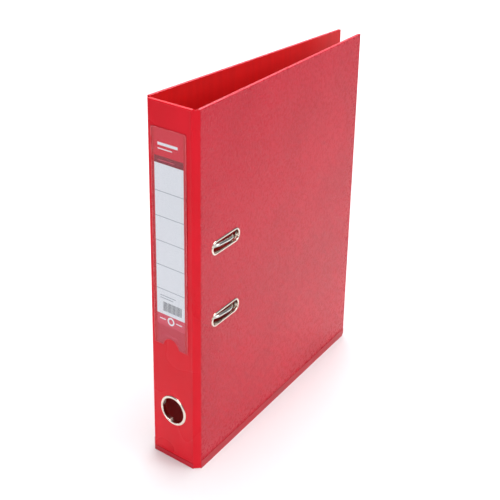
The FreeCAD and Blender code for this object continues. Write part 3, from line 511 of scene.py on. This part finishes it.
def weldBead(name, place, lowU, highU, lowZ, highZ, finish, body):
    corner, margin = bead["corner"], bead["inset"] + bead["corner"]
    turns = []
    for signU, signZ, start in ((1, 1, 0), (-1, 1, 90), (-1, -1, 180), (1, -1, 270)):
        u = highU - margin if signU > 0 else lowU + margin
        z = highZ - margin if signZ > 0 else lowZ + margin
        turns += [(u, z, math.radians(start + 15 * step)) for step in range(7)]
    half, rise, sunk = bead["halfWidth"], bead["rise"], bead["sunk"]
    out, up = bead["shoulder"]
    profile = [(-half, sunk), (-half * out, -rise * up), (0, -rise), (half * out, -rise * up), (half, sunk)]
    sweep(name, turningStations(place, corner, turns), profile, finish, body)


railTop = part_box("front_cover_rail")[1].z + bead["aboveRail"]
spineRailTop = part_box("spine_rail")[1].z + bead["aboveRail"]
coverLength = backHigh.x - hingeX
weldBead("frontCoverWeld", frontPlace, 0, coverLength, railTop, frontHigh.z, "embossed", "front_cover")
weldBead("backCoverWeld", backPlace, hingeX, backHigh.x, railTop, backHigh.z, "embossed", "back_cover")
weldBead("spineWeld", spinePlace, spineLow.y, spineHigh.y, spineRailTop, spineHigh.z, "smooth", "spine")
print("welds: 3")

# ---- pocket: the weld along three sides of the film, and its cut edge round the thumb notch
pocket = {"weldRadius": 0.32 * mm, "corner": 2.5 * mm, "inset": 0.6 * mm, "foot": 0.5 * mm, "run": 1 * mm,
          "edgeRadius": 0.2 * mm, "notch": 9 * mm, "notchBelow": 1 * mm, "notchSteps": 24}
pocketLow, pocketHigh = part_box("label_pocket")
leftY, rightY = pocketLow.y + pocket["inset"], pocketHigh.y - pocket["inset"]
topZ, footZ = pocketHigh.z - pocket["inset"], pocketLow.z + pocket["foot"]


def onFilm(y, z):
    return Vector((pocketLow.x, y, z))


def pocketWeld():
    corner = pocket["corner"]
    route = [onFilm(leftY, footZ), onFilm(leftY, topZ - corner)]
    for middleY, start in ((leftY + corner, 180), (rightY - corner, 90)):
        for turn in (math.radians(start - 15 * step) for step in range(1, 7)):
            route.append(onFilm(middleY + corner * math.cos(turn), topZ - corner + corner * math.sin(turn)))
    route += [onFilm(rightY, topZ - corner - pocket["run"]), onFilm(rightY, footZ)]
    wireTube("pocketSeam", route, pocket["weldRadius"], "filmEdge", "spine")


def pocketMouth():
    radius, steps = pocket["edgeRadius"], pocket["notchSteps"]
    edgeZ, middleY = pocketLow.z + radius, (pocketLow.y + pocketHigh.y) / 2
    notchZ, reach = pocketLow.z - pocket["notchBelow"], pocket["notch"] + radius
    dip = math.asin((edgeZ - notchZ) / reach)
    turns = [math.pi - dip - (math.pi - 2 * dip) * step / steps for step in range(steps + 1)]
    route = [onFilm(middleY + reach * math.cos(turn), notchZ + reach * math.sin(turn)) for turn in turns]
    route = [onFilm(leftY, edgeZ)] + route + [onFilm(rightY, edgeZ)]
    wireTube("pocketMouth", route, radius, "filmEdge", "spine")


pocketWeld()
pocketMouth()
print("pocket: 2")

# ---- the mechanism's arch springs, coiled on the shaft, and the ribs pressed in its plate
archSpring = {"wire": 0.45 * mm, "gap": 0.15 * mm, "turns": 7, "stepsPerTurn": 16,
              "from": 8 * mm, "to": 20 * mm, "leg": 14 * mm, "bend": 2 * mm}
rib = {"rise": 0.9 * mm, "halfWidth": 2.0 * mm, "from": 14 * mm, "to": 46 * mm, "x": 44 * mm,
       "levels": 6, "around": 24, "tip": 0.02, "abovePlate": 0.15 * mm}
shaftLow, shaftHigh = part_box("arch_shaft")
shaftCentre = (shaftLow + shaftHigh) / 2
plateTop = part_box("leaf_spring")[1].y + rib["abovePlate"]


def coiledSpring(name, way):
    wire = archSpring["wire"]
    radius = (shaftHigh.x - shaftLow.x) / 2 + archSpring["gap"] + wire
    steps = archSpring["turns"] * archSpring["stepsPerTurn"]
    coil = []
    for i in range(steps + 1):
        turn = math.pi / 2 + 2 * math.pi * archSpring["turns"] * i / steps
        reach = archSpring["from"] + (archSpring["to"] - archSpring["from"]) * i / steps
        coil.append(shaftCentre + Vector((radius * math.cos(turn), radius * math.sin(turn), way * reach)))
    first = coil[0]
    legEnd = Vector((first.x + archSpring["leg"], plateTop - wire, first.z))
    legStart = Vector((first.x + archSpring["bend"], first.y, first.z))
    wireTube(name, [legEnd, legStart] + coil, wire, "wire", "back_cover")


def pressedRib(name, way):
    levels, around, half = rib["levels"], rib["around"], rib["halfWidth"]
    bottom, top = sorted(shaftCentre.z + way * rib[key] for key in ("from", "to"))
    points = []
    for slope in (math.pi / 2 * level / levels for level in range(levels + 1)):
        radius = half * max(math.cos(slope), rib["tip"])
        y = plateTop - rib["rise"] * math.sin(slope)
        for turn in (2 * math.pi * k / around for k in range(around)):
            base = top - half if math.sin(turn) >= 0 else bottom + half
            points.append((rib["x"] + radius * math.cos(turn), y, base + radius * math.sin(turn)))
    buildPiece(name, points, ringFaces(levels + 1, around, False), "sheet", "back_cover")


for end, way in (("upper", 1), ("lower", -1)):
    coiledSpring(end + "ArchSpring", way)
    pressedRib(end + "PlateRib", way)
print("springs and ribs: 4")

# ---- floor, light and camera
studio = {"floorSize": 6.0, "world": "#e8eefc", "worldStrength": 0.24}
floorMesh = bpy.data.meshes.new("floor")
reach = studio["floorSize"] / 2
corners = [(-reach, -reach, 0), (reach, -reach, 0), (reach, reach, 0), (-reach, reach, 0)]
floorMesh.from_pydata(corners, [], [(0, 1, 2, 3)])
floorMesh.materials.append(finishes["floor"])
floor = bpy.data.objects.new("floor", floorMesh)
bpy.context.scene.collection.objects.link(floor)
world = bpy.data.worlds.new("studio")
world.use_nodes = True
background = world.node_tree.nodes["Background"]
background.inputs["Color"].default_value = toLinear(studio["world"])
background.inputs["Strength"].default_value = studio["worldStrength"]
bpy.context.scene.world = world
bpy.context.scene.view_settings.view_transform = "Standard"

softboxes = [  # name, place and aim in metres, size, watts
    ("keySoftbox", (-1.7, -0.3, 1.05), (0.02, 0, 0.18), 0.9, 15.5),
    ("frontSoftbox", (0.65, -1.8, 1.15), (0.16, 0, 0.16), 0.9, 13),
    ("topSoftbox", (0.15, -0.05, 1.05), (0.12, -0.03, 0.1), 0.6, 9.2),
    ("sweepSoftbox", (1.7, 1.4, 1.6), (1.9, 1.6, 0), 1.8, 60),
]
for name, place, aim, size, watts in softboxes:
    lamp = bpy.data.lights.new(name, "AREA")
    lamp.shape = "SQUARE"
    lamp.size = size
    lamp.energy = watts
    holder = bpy.data.objects.new(name, lamp)
    holder.location = place
    holder.rotation_euler = (Vector(aim) - Vector(place)).to_track_quat("-Z", "Y").to_euler()
    bpy.context.scene.collection.objects.link(holder)

camera = {  # place in mm, angles in degrees
    "place": (-587.8, -537.2, 614.2), "azimuth": 37.7, "down": 23.35, "roll": 1.04, "lens": 75.7,
    "sensor": 36, "shiftY": -0.12}
lensData = bpy.data.cameras.new("camera")
lensData.lens = camera["lens"]
lensData.sensor_width = camera["sensor"]
lensData.shift_y = camera["shiftY"]
cameraObject = bpy.data.objects.new("camera", lensData)
yaw, pitch = math.radians(camera["azimuth"]), math.radians(camera["down"])
sight = Vector((math.cos(yaw) * math.cos(pitch), math.sin(yaw) * math.cos(pitch), -math.sin(pitch)))
facing = sight.to_track_quat("-Z", "Y").to_matrix().to_4x4()
standpoint = Matrix.Translation(Vector(camera["place"]) * mm)
cameraObject.matrix_world = standpoint @ facing @ Matrix.Rotation(math.radians(camera["roll"]), 4, "Z")
bpy.context.scene.collection.objects.link(cameraObject)
bpy.context.scene.camera = cameraObject
print("studio: set")
